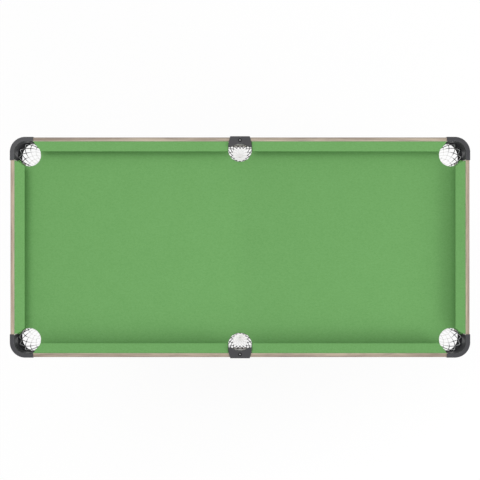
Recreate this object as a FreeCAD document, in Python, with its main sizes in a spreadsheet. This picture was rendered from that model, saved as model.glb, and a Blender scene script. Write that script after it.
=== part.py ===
"""Small home billiard table with net pockets and two folding tube leg frames.

Lengths are millimetres. The origin is on the floor under the middle of the table, X runs along the
table, Y across it and Z up. The table stands on its legs, which fold inward under the board.
"""
import FreeCAD, Part
import math
import os
from collections import namedtuple
from types import SimpleNamespace

import Sketcher

SIZES = {
    # Whole table, over the wooden rails
    "table_length": 1400,
    "table_width": 670,
    "rail_height": 800,
    # Rails and playfield
    "apron_thick": 12,
    "apron_depth": 110,
    "apron_edge_round": 2,
    "rail_above_cloth": 27,
    "cloth_thick": 1,
    "board_thick": 12,
    "cleat_side": 12,
    "cleat_clearance": 40,
    "batten_width": 50,
    "batten_offset": 200,
    # Pockets in the board
    "corner_hole_radius": 36,
    "corner_hole_inset": 49.8,
    "side_hole_radius": 37.5,
    "side_hole_inset": 34,
    # Cushions
    "cushion_width": 29.5,
    "cushion_top_drop": 0.5,
    "nose_height": 23,
    "nose_round": 2,
    "nose_underside_height": 8,
    "backer_width": 14,
    "cushion_back_round": 1.5,
    "cushion_cloth_thick": 1,
    "facing_round": 7,
    "corner_gap_long": 70,
    "corner_mitre_long": 23,
    "corner_gap_end": 70.6,
    "corner_mitre_end": 17,
    "side_gap": 36,
    "side_mitre": 3,
    # Corner pocket caps
    "cap_proud": 1.5,
    "cap_leg": 71,
    "cap_lap": 2,
    "cap_corner_radius": 47,
    "cap_band": 12.5,
    "cap_edge_round": 1.2,
    "cap_wall": 2,
    "net_ring_radius": 39.5,
    "net_ring_depth": 14,
    "net_ring_lap": 2,
    "lug_radius": 6,
    "lug_thick": 2.5,
    "lug_spread_angle": 60,
    "peg_radius": 1.5,
    "peg_length": 3.5,
    "peg_drop": 6,
    "peg_count": 10,
    # Side pocket caps
    "side_cap_thick": 3,
    "side_cap_overhang": 3.1,
    "side_cap_outer_half": 29.7,
    "side_cap_waist_half": 33,
    "side_cap_waist_inset": 8,
    "side_cap_arm_half": 36.6,
    "side_cap_arm_inset": 30,
    "side_cap_arc_radius": 44,
    "side_cap_arc_inset": 19.6,
    "side_cap_arm_land": 7.6,
    "side_cap_lip_depth": 12,
    "side_cap_rim_depth": 8,
    "side_cap_rim_thick": 2.5,
    "side_cap_edge_round": 0.9,
    "side_cap_recess_radius": 6,
    "side_cap_recess_depth": 1.5,
    "side_cap_screw_inset": 8.8,
    # Nets
    "net_wall": 1.2,
    "net_depth": 183,
    "net_shoulder_drop": 100,
    "net_belly_drop": 155,
    "net_shoulder_radius": 33,
    "net_belly_radius": 25,
    "net_bottom_radius": 11,
    "net_knot_radius": 4,
    "net_knot_depth": 7,
    "net_ring_play": 0.8,
    "net_board_lap": 1.5,
    "net_slack": 0.3,
    # Screws and nails
    "screw_radius": 1.6,
    "screw_head_radius": 3.2,
    "screw_head_thick": 2,
    "screw_bite": 8,
    "side_screw_head_radius": 2.8,
    "side_screw_head_thick": 1.4,
    "side_screw_length": 20,
    "nail_radius": 0.9,
    "nail_head_radius": 1.8,
    "nail_head_thick": 0.8,
    "nail_stand_off": 3,
    "nail_spread_angle": 40,
    # Folding leg frames
    "leg_pivot_inset": 175,
    "leg_pivot_drop": 30,
    "leg_side_inset": 95,
    "nest_gap": 10,
    "tube_side": 25,
    "tube_wall": 1.5,
    "tube_corner_round": 2,
    "leg_top_reach": 15,
    "upper_bar_drop": 180,
    "lower_bar_drop": 270,
    "bar_side": 20,
    "bar_wall": 1.5,
    "plug_thick": 2,
    "plug_length": 10,
    "plug_play": 0.2,
    # Pivot brackets
    "sheet_thick": 2,
    "bracket_end_reach": 12,
    "bracket_play": 0.5,
    "pivot_radius": 4,
    "running_play": 0.05,
    "pivot_head_radius": 7,
    "pivot_head_thick": 4,
    "pivot_rivet_head_thick": 1.5,
    # Slotted stays
    "stay_arm": 100,
    "stay_width": 20,
    "stay_thick": 3,
    "stay_spacing": 2.5,
    "stay_end_margin": 12,
    "stay_head_thick": 2,
    "stay_head_radius": 7,
    "stay_play": 0.1,
    # Levelling feet
    "foot_radius": 16,
    "foot_waist_radius": 9,
    "foot_rim_height": 4,
    "foot_height": 12,
    "foot_hex_radius": 8,
    "foot_hex_height": 5,
    "foot_stud_radius": 5,
    "foot_stud_length": 42,
    "socket_flange": 3,
    "socket_length": 25,
    # Run past a face, so that a cut goes right through it
    "overrun": 4,
}

# Turns of a piece about Z for each rail and corner, whose own frame has y pointing into the table
FRONT, RIGHT, BACK, LEFT = 0, 90, 180, 270

Bend = namedtuple("Bend", "centre ccw", defaults=(True,))
vector = FreeCAD.Vector
doc = FreeCAD.newDocument("BilliardTable")
parts = []


class Size:
    """A length that follows the sheet: its formula there, and its value now."""

    def __init__(self, formula, value):
        self.formula = formula
        self.value = value

    def joined(self, sign, other, value):
        return Size(f"({self.formula} {sign} {formula_of(other)})", value)

    def __add__(self, other):
        return self.joined("+", other, self.value + value_of(other))

    def __sub__(self, other):
        return self.joined("-", other, self.value - value_of(other))

    def __mul__(self, other):
        return self.joined("*", other, self.value * value_of(other))

    def __truediv__(self, other):
        return self.joined("/", other, self.value / value_of(other))

    def __neg__(self):
        return Size(f"(-{self.formula})", -self.value)

    def __rtruediv__(self, other):
        return Size(f"({other} / {self.formula})", other / self.value)

    def __rsub__(self, other):
        return -self + other

    __radd__ = __add__
    __rmul__ = __mul__


def formula_of(thing):
    return thing.formula if isinstance(thing, Size) else f"{thing}"


def value_of(thing):
    return thing.value if isinstance(thing, Size) else thing


def root(size):
    return Size(f"sqrt({size.formula})", math.sqrt(size.value))


def cosine(angle):
    return Size(f"cos({formula_of(angle)})", math.cos(math.radians(value_of(angle))))


def sine(angle):
    return Size(f"sin({formula_of(angle)})", math.sin(math.radians(value_of(angle))))


def make_sheet():
    sheet = doc.addObject("Spreadsheet::Sheet", "Sizes")
    for row, (name, value) in enumerate(SIZES.items(), 1):
        sheet.set(f"A{row}", name)
        sheet.set(f"B{row}", str(value))
        sheet.setAlias(f"B{row}", name)
    doc.recompute()
    return SimpleNamespace(**{name: Size(f"Sizes.{name}", float(sheet.get(name))) for name in SIZES})


s = make_sheet()

# Levels and lines that several pieces share
half_length = s.table_length / 2
half_width = s.table_width / 2
apron_bottom = s.rail_height - s.apron_depth
cloth_top = s.rail_height - s.rail_above_cloth
board_top = cloth_top - s.cloth_thick
board_bottom = board_top - s.board_thick
inner_x = half_length - s.apron_thick
inner_y = half_width - s.apron_thick
corner_hole_x = half_length - s.corner_hole_inset
corner_hole_y = half_width - s.corner_hole_inset
side_hole_y = half_width - s.side_hole_inset
cap_centre = s.cap_corner_radius - s.cap_proud
cap_inner_radius = s.cap_corner_radius - s.cap_band
cap_reach = s.cap_band - s.cap_proud
apron_end = s.cap_leg - s.cap_proud - s.cap_lap
lug_distance = s.net_ring_radius + s.lug_radius
net_bottom = s.rail_height - s.net_depth
side_net_radius = s.side_hole_radius + s.net_board_lap
nail_distance = side_net_radius + s.nail_head_radius + s.net_slack
pivot_height = board_bottom - s.leg_pivot_drop
wide_leg_half = half_width - s.leg_side_inset
narrow_leg_half = wide_leg_half - s.tube_side - s.nest_gap
stay_near = s.stay_arm * math.sqrt(2)
stay_far = s.stay_arm * 2
foot_stop = s.foot_height + s.foot_hex_height


# Sketches and features

def body(name):
    return doc.addObject("PartDesign::Body", name)


def sketch(owner, name, role="XY_Plane", height=0, shift=(0, 0), lean=None):
    """A drawing on a plane of its owner, moved along it and off it, and turned about its own upright."""
    drawing = owner.newObject("Sketcher::SketchObject", name)
    plane = [feature for feature in owner.Origin.OriginFeatures if feature.Role == role][0]
    drawing.AttachmentSupport = (plane, [""])
    drawing.MapMode = "FlatFace"
    if lean is not None:
        turn = FreeCAD.Rotation(vector(0, 1, 0), value_of(lean))
        drawing.AttachmentOffset = FreeCAD.Placement(vector(0, 0, 0), turn)
        drawing.setExpression("AttachmentOffset.Rotation.Angle", formula_of(lean))
    for letter, amount in zip("xyz", (*shift, height)):
        if isinstance(amount, Size):
            drawing.setExpression(f"AttachmentOffset.Base.{letter}", amount.formula)
    return drawing


def fix(drawing, kind, axis, index, end, distance):
    """Fixes one coordinate of a point of a sketch, on the axis itself where the distance is zero."""
    if isinstance(distance, Size):
        constraint = Sketcher.Constraint(kind, -1, 1, index, end, distance.value)
        drawing.setExpression(f"Constraints[{drawing.addConstraint(constraint)}]", distance.formula)
    else:
        drawing.addConstraint(Sketcher.Constraint("PointOnObject", index, end, axis))


def pin(drawing, index, end, point):
    fix(drawing, "DistanceX", -2, index, end, point[0])
    fix(drawing, "DistanceY", -1, index, end, point[1])


def flat(point):
    return vector(value_of(point[0]), value_of(point[1]), 0)


def bent_edge(start, finish, bend):
    """The arc of one bend from start to finish round its centre, drawn counterclockwise."""
    centre = flat(bend.centre)
    first, last = (start, finish) if bend.ccw else (finish, start)
    turns = [math.atan2(point.y - centre.y, point.x - centre.x) for point in (first, last)]
    if turns[1] < turns[0]:
        turns[1] += math.tau
    return Part.ArcOfCircle(Part.Circle(centre, vector(0, 0, 1), (start - centre).Length), *turns)


def pin_centre(drawing, index, start, finish, centre):
    """Both ends of an arc are fixed, so one coordinate of its centre is enough."""
    steep = abs(finish.y - start.y) > abs(finish.x - start.x)
    kind, axis, distance = ("DistanceX", -2, centre[0]) if steep else ("DistanceY", -1, centre[1])
    fix(drawing, kind, axis, index, 3, distance)


def outline(drawing, corners):
    """Draws one closed outline. A corner is (x, y), or (x, y, Bend) where an arc leaves it."""
    count = len(corners)
    ends = []
    for number, corner in enumerate(corners):
        start = flat(corner)
        finish = flat(corners[(number + 1) % count])
        if len(corner) == 3:
            index = drawing.addGeometry(bent_edge(start, finish, corner[2]))
            ends.append((index, 1, 2) if corner[2].ccw else (index, 2, 1))
        else:
            ends.append((drawing.addGeometry(Part.LineSegment(start, finish)), 1, 2))
    for number, corner in enumerate(corners):
        index, first, last = ends[number]
        following, following_first, _ = ends[(number + 1) % count]
        drawing.addConstraint(Sketcher.Constraint("Coincident", index, last, following, following_first))
        pin(drawing, index, first, corner)
        if len(corner) == 3:
            finish = flat(corners[(number + 1) % count])
            pin_centre(drawing, index, flat(corner), finish, corner[2].centre)


def rectangle(drawing, low_x, low_y, high_x, high_y):
    outline(drawing, [(low_x, low_y), (high_x, low_y), (high_x, high_y), (low_x, high_y)])


def square(drawing, x, y, half):
    rectangle(drawing, x - half, y - half, x + half, y + half)


def circle(drawing, x, y, radius):
    index = drawing.addGeometry(Part.Circle(flat((x, y)), vector(0, 0, 1), radius.value))
    pin(drawing, index, 3, (x, y))
    number = drawing.addConstraint(Sketcher.Constraint("Radius", index, radius.value))
    drawing.setExpression(f"Constraints[{number}]", radius.formula)


def pad(owner, drawing, length, both_ways=False):
    feature = owner.newObject("PartDesign::Pad", drawing.Name + "_pad")
    feature.Profile = drawing
    feature.SideType = "Symmetric" if both_ways else "One side"
    feature.setExpression("Length", length.formula)
    owner.Tip = feature
    return feature


def cut(owner, drawing, depth=None):
    """Cuts through both ways, or to a depth against the way that the sketch faces."""
    feature = owner.newObject("PartDesign::Pocket", drawing.Name + "_cut")
    feature.Profile = drawing
    if depth is None:
        feature.Type = "ThroughAll"
        feature.SideType = "Symmetric"
    else:
        feature.setExpression("Length", depth.formula)
    owner.Tip = feature
    return feature


def turned(owner, drawing):
    feature = owner.newObject("PartDesign::Revolution", drawing.Name + "_turn")
    feature.Profile = drawing
    feature.ReferenceAxis = (drawing, ["V_Axis"])
    owner.Tip = feature
    return feature


def rounded(owner, name, radius, test):
    """Rounds the edges of a body's last feature that pass the test on their middle point."""
    doc.recompute()
    base = owner.Tip
    chosen = []
    for number, edge in enumerate(base.Shape.Edges, 1):
        middle = edge.valueAt((edge.FirstParameter + edge.LastParameter) / 2)
        if test(edge, middle):
            chosen.append(f"Edge{number}")
    if not chosen:
        raise RuntimeError(f"{name} found no edges")
    feature = owner.newObject("PartDesign::Fillet", name)
    feature.Base = (base, chosen)
    feature.setExpression("Radius", radius.formula)
    owner.Tip = feature
    return feature


def same(first, second):
    return math.isclose(value_of(first), value_of(second), rel_tol=1e-6, abs_tol=1e-6)


def upright(edge):
    way = edge.lastVertex().Point - edge.firstVertex().Point
    return same(way.x, 0) and same(way.y, 0)


def boolean(kind, name, base, tool):
    feature = doc.addObject(f"Part::{kind}", name)
    feature.Base = base
    feature.Tool = tool
    return feature


def place(piece, x=0, y=0, z=0, turn=0):
    piece.Placement = FreeCAD.Placement(vector(0, 0, 0), FreeCAD.Rotation(vector(0, 0, 1), turn))
    for letter, amount in zip("xyz", (x, y, z)):
        if isinstance(amount, Size):
            piece.setExpression(f".Placement.Base.{letter}", amount.formula)
    return piece


def keep(piece, name):
    """Adds a finished sub-part to the ones that are written out, under its own name."""
    piece.Label = name
    parts.append(piece)
    return piece


def group(name, pieces):
    bundle = doc.addObject("Part::Compound", name)
    bundle.Links = pieces
    return keep(bundle, name)


def on_rail(piece, turn):
    x = {RIGHT: half_length, LEFT: -half_length}.get(turn, 0)
    y = {FRONT: -half_width, BACK: half_width}.get(turn, 0)
    return place(piece, x, y, 0, turn)


def on_corner(piece, turn):
    x = -half_length if turn in (FRONT, LEFT) else half_length
    y = -half_width if turn in (FRONT, RIGHT) else half_width
    return place(piece, x, y, 0, turn)


# Playfield

def playfield_sheet(name, bottom, thick):
    """A sheet between the aprons with the six pockets cut out, open to the corners."""
    sheet = body(name)
    plan = sketch(sheet, name + "_plan", height=bottom)
    rectangle(plan, -inner_x, -inner_y, inner_x, inner_y)
    pad(sheet, plan, thick)
    holes = sketch(sheet, name + "_holes", height=bottom)
    notches = sketch(sheet, name + "_notches", height=bottom)
    for end in (-1, 1):
        circle(holes, 0, side_hole_y * end, s.side_hole_radius)
        for side in (-1, 1):
            x = corner_hole_x * end
            y = corner_hole_y * side
            circle(holes, x, y, s.corner_hole_radius)
            near_x = (half_length - apron_end) * end
            near_y = (half_width - apron_end) * side
            outer_x = (inner_x + s.overrun) * end
            outer_y = (inner_y + s.overrun) * side
            outline(notches, [(x, y), (x, near_y), (outer_x, near_y), (outer_x, outer_y),
                              (near_x, outer_y), (near_x, y)])
    cut(sheet, holes)
    cut(sheet, notches)
    return keep(sheet, name)


def board_supports():
    """Cleats glued in the corner of board and aprons, and two battens across the table."""
    cleats = body("board_cleats")
    plan = sketch(cleats, "cleats_plan", height=board_bottom - s.cleat_side)
    long_start = s.side_hole_radius + s.cleat_clearance
    long_end = corner_hole_x - s.corner_hole_radius - s.cleat_clearance
    end_half = corner_hole_y - s.corner_hole_radius - s.cleat_clearance
    for side in (-1, 1):
        near = (inner_y - s.cleat_side) * side
        far = inner_y * side
        for end in (-1, 1):
            outline(plan, [(long_start * end, near), (long_end * end, near),
                           (long_end * end, far), (long_start * end, far)])
        near = (inner_x - s.cleat_side) * side
        far = inner_x * side
        outline(plan, [(near, -end_half), (far, -end_half), (far, end_half), (near, end_half)])
    pad(cleats, plan, s.cleat_side)
    keep(cleats, "board_cleats")
    battens = body("cross_battens")
    plan = sketch(battens, "battens_plan", height=board_bottom - s.cleat_side)
    reach = inner_y - s.cleat_side
    for end in (-1, 1):
        middle = s.batten_offset * end
        rectangle(plan, middle - s.batten_width / 2, -reach, middle + s.batten_width / 2, reach)
    pad(battens, plan, s.cleat_side)
    keep(battens, "cross_battens")


def apron(name, turn, half_rail):
    """One rail board, whose ends stop at the rib inside each corner cap."""
    board = body(name)
    section = sketch(board, name + "_section", "YZ_Plane")
    rectangle(section, 0, apron_bottom, s.apron_thick, s.rail_height)
    pad(board, section, (half_rail - apron_end) * 2, both_ways=True)
    rounded(board, name + "_round", s.apron_edge_round,
            lambda edge, middle: same(middle.y, 0) and same(middle.x, 0))
    return keep(on_rail(board, turn), name)


# Cushions

def cushion_section(name, corners, nose=None, back=None):
    """A section drawn across the rail, as long as the table, with its nose and back edge rounded."""
    bar = body(name)
    section = sketch(bar, name + "_drawing", "YZ_Plane")
    outline(section, corners)
    pad(bar, section, s.table_length, both_ways=True)
    for label, edge_place, radius in filter(None, (nose, back)):
        rounded(bar, f"{name}_{label}", radius,
                lambda edge, middle: same(middle.y, edge_place[0]) and same(middle.z, edge_place[1])
                and same(middle.x, 0))
    return bar


def cushion_sections():
    """Sections of the cloth's outside, of all that it wraps, and of the wood and rubber inside."""
    skin = s.cushion_cloth_thick
    wall = s.apron_thick
    sharp_nose_share = 1.1
    nose_y = wall + s.cushion_width + s.nose_round * sharp_nose_share
    top = s.rail_height - s.cushion_top_drop
    nose_z = cloth_top + s.nose_height
    under_y = wall + s.backer_width + skin
    under_z = cloth_top + s.nose_underside_height
    outside = cushion_section(
        "cushion_outside",
        [(wall, cloth_top), (under_y, cloth_top), (under_y, under_z), (nose_y, nose_z), (wall, top)],
        ("nose", (nose_y, nose_z), s.nose_round),
        ("back", (wall, top), s.cushion_back_round))
    slope = (top - nose_z) / (nose_y - wall)
    core_nose = (nose_y - skin * 2, nose_z - skin / 2 + slope * skin)
    core_top = (wall, top - skin)
    core_under = (under_y - skin, under_z + skin / 2)
    core = cushion_section(
        "cushion_core",
        [(wall - s.overrun, cloth_top - s.overrun), (under_y - skin, cloth_top - s.overrun), core_under,
         core_nose, core_top, (wall - s.overrun, top - skin)])
    split = wall + s.backer_width - skin
    split_top = top - skin + (core_nose[1] - core_top[1]) * (split - wall) / (core_nose[0] - wall)
    backer = cushion_section(
        "backer_section", [(wall, cloth_top), (split, cloth_top), (split, split_top), core_top])
    rubber = cushion_section(
        "rubber_section",
        [(split, cloth_top), (core_under[0], cloth_top), core_under, core_nose, (split, split_top)])
    return outside, core, backer, rubber


def cushion_plan(name, low, high, low_nose, high_nose, inset):
    """The cushion from above, with mitred facings whose corner at the nose is rounded."""
    prism = body(name)
    plan = sketch(prism, name + "_drawing", height=cloth_top - s.overrun * 2)
    wall = s.apron_thick
    nose = wall + s.cushion_width
    shift_low = inset * root(s.cushion_width * s.cushion_width + (low_nose - low) * (low_nose - low))
    shift_high = inset * root(s.cushion_width * s.cushion_width + (high - high_nose) * (high - high_nose))
    shift_low = shift_low / s.cushion_width
    shift_high = shift_high / s.cushion_width
    lead_low = (low_nose - low) / s.cushion_width
    lead_high = (high - high_nose) / s.cushion_width
    past = s.overrun
    outline(plan, [(low + shift_low - lead_low * past, wall - past),
                   (high - shift_high + lead_high * past, wall - past),
                   (high_nose - shift_high, nose), (low_nose + shift_low, nose)])
    pad(prism, plan, s.rail_above_cloth + s.overrun * 3)
    rounded(prism, name + "_corners", s.facing_round - inset,
            lambda edge, middle: upright(edge) and same(middle.y, nose))
    return prism


def cushion(name, turn, low, high, low_nose, high_nose, sections):
    """One cushion: the wrapped cloth, and the wood and rubber that it covers."""
    outside, core, backer, rubber = sections
    outer_plan = cushion_plan(name + "_plan", low, high, low_nose, high_nose, 0)
    inner_plan = cushion_plan(name + "_inner_plan", low, high, low_nose, high_nose, s.cushion_cloth_thick)
    block = boolean("Common", name + "_block", outside, outer_plan)
    filling = boolean("Common", name + "_filling", core, inner_plan)
    cloth = boolean("Cut", "cushion_cloth_" + name, block, filling)
    keep(on_rail(cloth, turn), "cushion_cloth_" + name)
    wood = on_rail(boolean("Common", name + "_backer", backer, inner_plan), turn)
    nose = on_rail(boolean("Common", name + "_rubber", rubber, inner_plan), turn)
    return wood, nose


def cushions():
    sections = cushion_sections()
    long_end = half_length - s.corner_gap_long
    end_end = half_width - s.corner_gap_end
    long_pairs = []
    for name, turn, way in (("front_left", FRONT, -1), ("front_right", FRONT, 1),
                            ("back_right", BACK, -1), ("back_left", BACK, 1)):
        near = (s.side_gap, s.side_gap + s.side_mitre)
        far = (long_end, long_end - s.corner_mitre_long)
        low, high = (near, far) if way > 0 else ([-size for size in far], [-size for size in near])
        long_pairs.append(cushion(name, turn, low[0], high[0], low[1], high[1], sections))
    end_pairs = []
    for name, turn in (("right", RIGHT), ("left", LEFT)):
        nose_end = end_end - s.corner_mitre_end
        end_pairs.append(cushion(name, turn, -end_end, end_end, -nose_end, nose_end, sections))
    group("cushion_backers_long", [wood for wood, _ in long_pairs])
    group("cushion_rubbers_long", [rubber for _, rubber in long_pairs])
    group("cushion_backers_end", [wood for wood, _ in end_pairs])
    group("cushion_rubbers_end", [rubber for _, rubber in end_pairs])


# Pocket caps

def cap_band_outline(drawing, width):
    """The L of a corner cap seen from above, with a round outer corner and the given width."""
    outer = -s.cap_proud
    inner = width - s.cap_proud
    leg_end = s.cap_leg - s.cap_proud
    middle = (cap_centre, cap_centre)
    outline(drawing, [
        (leg_end, outer), (cap_centre, outer, Bend(middle, False)), (outer, cap_centre), (outer, leg_end),
        (inner, leg_end), (inner, cap_centre, Bend(middle)), (cap_centre, inner), (leg_end, inner)])


def liner_outline(drawing, centre, radius, reach):
    """The wall round the outer side of a pocket, with a leg to the end of each apron."""
    outer = radius + s.cap_wall
    middle = (centre, centre)
    back = reach - s.cap_wall
    outline(drawing, [
        (apron_end, reach), (centre, centre - radius, Bend(middle, False)),
        (centre - radius, centre), (reach, apron_end),
        (back, apron_end), (centre - outer, centre, Bend(middle)),
        (centre, centre - outer), (apron_end, back)])


def corner_cap(name, turn):
    """Moulded corner: outer skirt, top band, drafted pocket liner and net ring with its pegs."""
    cap = body(name)
    top = s.rail_height + s.cap_proud
    skirt = sketch(cap, name + "_skirt", height=apron_bottom)
    cap_band_outline(skirt, s.cap_proud)
    pad(cap, skirt, s.apron_depth + s.cap_proud)
    band = sketch(cap, name + "_band", height=s.rail_height)
    cap_band_outline(band, s.cap_band)
    pad(cap, band, s.cap_proud)
    rounded(cap, name + "_edge", s.cap_edge_round,
            lambda edge, middle: same(middle.z, top) and (
                same(min(middle.x, middle.y), -s.cap_proud)
                or same(math.hypot(middle.x - cap_centre.value, middle.y - cap_centre.value),
                        s.cap_corner_radius)))
    ribs = sketch(cap, name + "_ribs", height=apron_bottom)
    rib_start = apron_end - s.cap_wall
    rib_reach = cap_reach - s.cap_wall / 4
    outline(ribs, [(rib_start, 0), (apron_end, 0), (apron_end, rib_reach), (rib_start, rib_reach)])
    outline(ribs, [(0, rib_start), (rib_reach, rib_start), (rib_reach, apron_end), (0, apron_end)])
    pad(cap, ribs, s.apron_depth)
    liner_top = sketch(cap, name + "_liner_top", height=top)
    liner_outline(liner_top, cap_centre, cap_inner_radius, cap_reach)
    liner_foot = sketch(cap, name + "_liner_foot", height=board_bottom - s.net_ring_lap)
    foot_radius = s.net_ring_radius + s.cap_wall / 3
    liner_outline(liner_foot, s.corner_hole_inset, foot_radius, s.apron_thick)
    liner = cap.newObject("PartDesign::AdditiveLoft", name + "_liner")
    liner.Profile = liner_top
    liner.Sections = [liner_foot]
    liner.Ruled = True
    cap.Tip = liner
    middle = (s.corner_hole_inset, s.corner_hole_inset)
    ring = sketch(cap, name + "_ring", height=board_bottom - s.net_ring_depth, shift=middle)
    circle(ring, 0, 0, s.net_ring_radius + s.cap_wall)
    circle(ring, 0, 0, s.net_ring_radius)
    pad(cap, ring, s.net_ring_depth)
    lugs = sketch(cap, name + "_lugs", height=board_bottom - s.lug_thick, shift=middle)
    for x, y in lug_places():
        circle(lugs, x, y, s.lug_radius)
        circle(lugs, x, y, s.screw_radius)
    pad(cap, lugs, s.lug_thick)
    diagonal = 45
    half_turn = 180
    first_peg = diagonal - half_turn / s.peg_count
    peg_start = s.net_ring_radius - s.peg_length
    peg = sketch(cap, name + "_peg", "YZ_Plane", s.corner_hole_inset + peg_start * cosine(first_peg),
                 (s.corner_hole_inset + peg_start * sine(first_peg), 0), first_peg)
    circle(peg, 0, board_bottom - s.peg_drop, s.peg_radius)
    stub = pad(cap, peg, s.peg_length + s.cap_wall / 2)
    doc.recompute()
    pegs = cap.newObject("PartDesign::PolarPattern", name + "_pegs")
    pegs.Originals = [stub]
    pegs.Axis = (ring, ["N_Axis"])
    pegs.setExpression("Occurrences", s.peg_count.formula)
    cap.Tip = pegs
    return keep(on_corner(cap, turn), name)


def lug_places():
    """Places of the screw lugs round a corner pocket, from the pocket's middle into the table."""
    inward = 45
    turns = (inward, s.lug_spread_angle + inward, -s.lug_spread_angle + inward)
    return [(lug_distance * cosine(turn), lug_distance * sine(turn)) for turn in turns]


def side_cap(name, turn):
    """Moulded plate over the rail at a side pocket, with an outer lip and a rim round its arc."""
    cap = body(name)
    top = s.rail_height + s.side_cap_thick
    outer = -s.side_cap_overhang
    arc_centre = s.side_cap_arc_inset + s.side_cap_arc_radius
    middle = (0, arc_centre)
    arm_inner = s.side_cap_arm_half - s.side_cap_arm_land
    drop = root(s.side_cap_arc_radius * s.side_cap_arc_radius - arm_inner * arm_inner)
    arc_end = arc_centre - drop
    plate = sketch(cap, name + "_plate", height=s.rail_height)
    outline(plate, [
        (-s.side_cap_outer_half, outer), (s.side_cap_outer_half, outer),
        (s.side_cap_waist_half, s.side_cap_waist_inset), (s.side_cap_arm_half, s.side_cap_arm_inset),
        (arm_inner, arc_end, Bend(middle, False)), (-arm_inner, arc_end),
        (-s.side_cap_arm_half, s.side_cap_arm_inset), (-s.side_cap_waist_half, s.side_cap_waist_inset)])
    pad(cap, plate, s.side_cap_thick)
    rounded(cap, name + "_edge", s.side_cap_edge_round, lambda edge, middle: same(middle.z, top))
    lip = sketch(cap, name + "_lip", height=s.rail_height - s.side_cap_lip_depth)
    rectangle(lip, -s.side_cap_outer_half, outer, s.side_cap_outer_half, 0)
    pad(cap, lip, s.side_cap_lip_depth + s.side_cap_thick / 2)
    rim = sketch(cap, name + "_rim", height=s.rail_height - s.side_cap_rim_depth)
    rim_radius = s.side_cap_arc_radius + s.side_cap_rim_thick
    rim_half = arm_inner * rim_radius / s.side_cap_arc_radius
    rim_end = arc_centre - drop * rim_radius / s.side_cap_arc_radius
    outline(rim, [(arm_inner, arc_end, Bend(middle, False)), (-arm_inner, arc_end),
                  (-rim_half, rim_end, Bend(middle)), (rim_half, rim_end)])
    pad(cap, rim, s.side_cap_rim_depth + s.side_cap_thick / 2)
    recess = sketch(cap, name + "_recess", height=top)
    circle(recess, 0, s.side_cap_screw_inset, s.side_cap_recess_radius)
    cut(cap, recess, s.side_cap_recess_depth)
    hole = sketch(cap, name + "_hole", height=top)
    circle(hole, 0, s.side_cap_screw_inset, s.screw_radius)
    cut(cap, hole, s.side_cap_thick)
    return keep(on_rail(cap, turn), name)


# Nets, as plain thin bags that are open at the top

def corner_net(name, turn):
    net = body(name)
    profile = sketch(net, name + "_profile", "XZ_Plane")
    top = board_bottom - s.peg_drop - s.peg_radius - s.net_slack
    wall = s.net_wall
    rim = s.net_ring_radius - s.net_ring_play
    shoulder = s.rail_height - s.net_shoulder_drop
    belly = s.rail_height - s.net_belly_drop
    knot = net_bottom - s.net_knot_depth
    outline(profile, [
        (0, knot), (s.net_knot_radius, knot), (s.net_knot_radius, net_bottom),
        (s.net_bottom_radius, net_bottom), (s.net_belly_radius, belly),
        (s.net_shoulder_radius, shoulder), (rim, top), (rim - wall, top),
        (s.net_shoulder_radius - wall, shoulder), (s.net_belly_radius - wall, belly),
        (s.net_bottom_radius - wall, net_bottom + wall), (0, net_bottom + wall)])
    turned(net, profile)
    x = -corner_hole_x if turn in (FRONT, LEFT) else corner_hole_x
    y = -corner_hole_y if turn in (FRONT, RIGHT) else corner_hole_y
    return keep(place(net, x, y, 0, turn), name)


def side_net_level(name, height, radius, flat_distance):
    """One level of a side net: a round that is flattened on the side of the apron."""
    level = doc.addObject("Sketcher::SketchObject", name)
    level.setExpression(".Placement.Base.z", height.formula)
    half_flat = root(radius * radius - flat_distance * flat_distance)
    line = s.side_hole_inset - flat_distance
    outline(level, [(-half_flat, line), (half_flat, line, Bend((0, s.side_hole_inset)))])
    return level


def side_net(name, turn):
    wall_flat = s.side_hole_inset - s.apron_thick - s.net_slack
    free_share = 0.84
    levels = (
        (board_bottom - s.net_slack, side_net_radius, wall_flat),
        (s.rail_height - s.net_shoulder_drop, s.net_shoulder_radius, wall_flat),
        (s.rail_height - s.net_belly_drop, s.net_belly_radius, s.net_belly_radius * free_share),
        (net_bottom, s.net_bottom_radius, s.net_bottom_radius * free_share))
    lofts = []
    for shell, wall, floor in (("outside", 0, 0), ("inside", s.net_wall, s.net_wall)):
        rings = []
        for number, (height, radius, flat_distance) in enumerate(levels):
            lift = floor if number == len(levels) - 1 else 0
            rings.append(side_net_level(f"{name}_{shell}_{number}", height + lift, radius - wall,
                                        flat_distance - wall))
        loft = doc.addObject("Part::Loft", f"{name}_{shell}")
        loft.Sections = rings
        loft.Solid = True
        loft.Ruled = True
        lofts.append(loft)
    bag = boolean("Cut", name + "_bag", *lofts)
    knot = doc.addObject("Part::Cylinder", name + "_knot")
    knot.setExpression("Radius", s.net_knot_radius.formula)
    knot.setExpression("Height", s.net_knot_depth.formula)
    place(knot, 0, s.side_hole_inset, net_bottom - s.net_knot_depth)
    return keep(on_rail(boolean("Fuse", name, bag, knot), turn), name)


# Fasteners, each kind in one node

def fastener_group(name, places, head_height, head_radius, head_thick, shank_radius, shank_length):
    """Upright screws with their heads below, at the given places."""
    fasteners = body(name)
    heads = sketch(fasteners, name + "_heads", height=head_height)
    shanks = sketch(fasteners, name + "_shanks", height=head_height + head_thick)
    for x, y in places:
        circle(heads, x, y, head_radius)
        circle(shanks, x, y, shank_radius)
    pad(fasteners, heads, head_thick)
    pad(fasteners, shanks, shank_length)
    return keep(fasteners, name)


def corner_cap_screws():
    places = []
    for end in (-1, 1):
        for side in (-1, 1):
            for x, y in lug_places():
                places.append(((corner_hole_x - x) * end, (corner_hole_y - y) * side))
    fastener_group("corner_cap_screws", places, board_bottom - s.lug_thick - s.screw_head_thick,
                   s.screw_head_radius, s.screw_head_thick, s.screw_radius, s.lug_thick + s.screw_bite)


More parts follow.
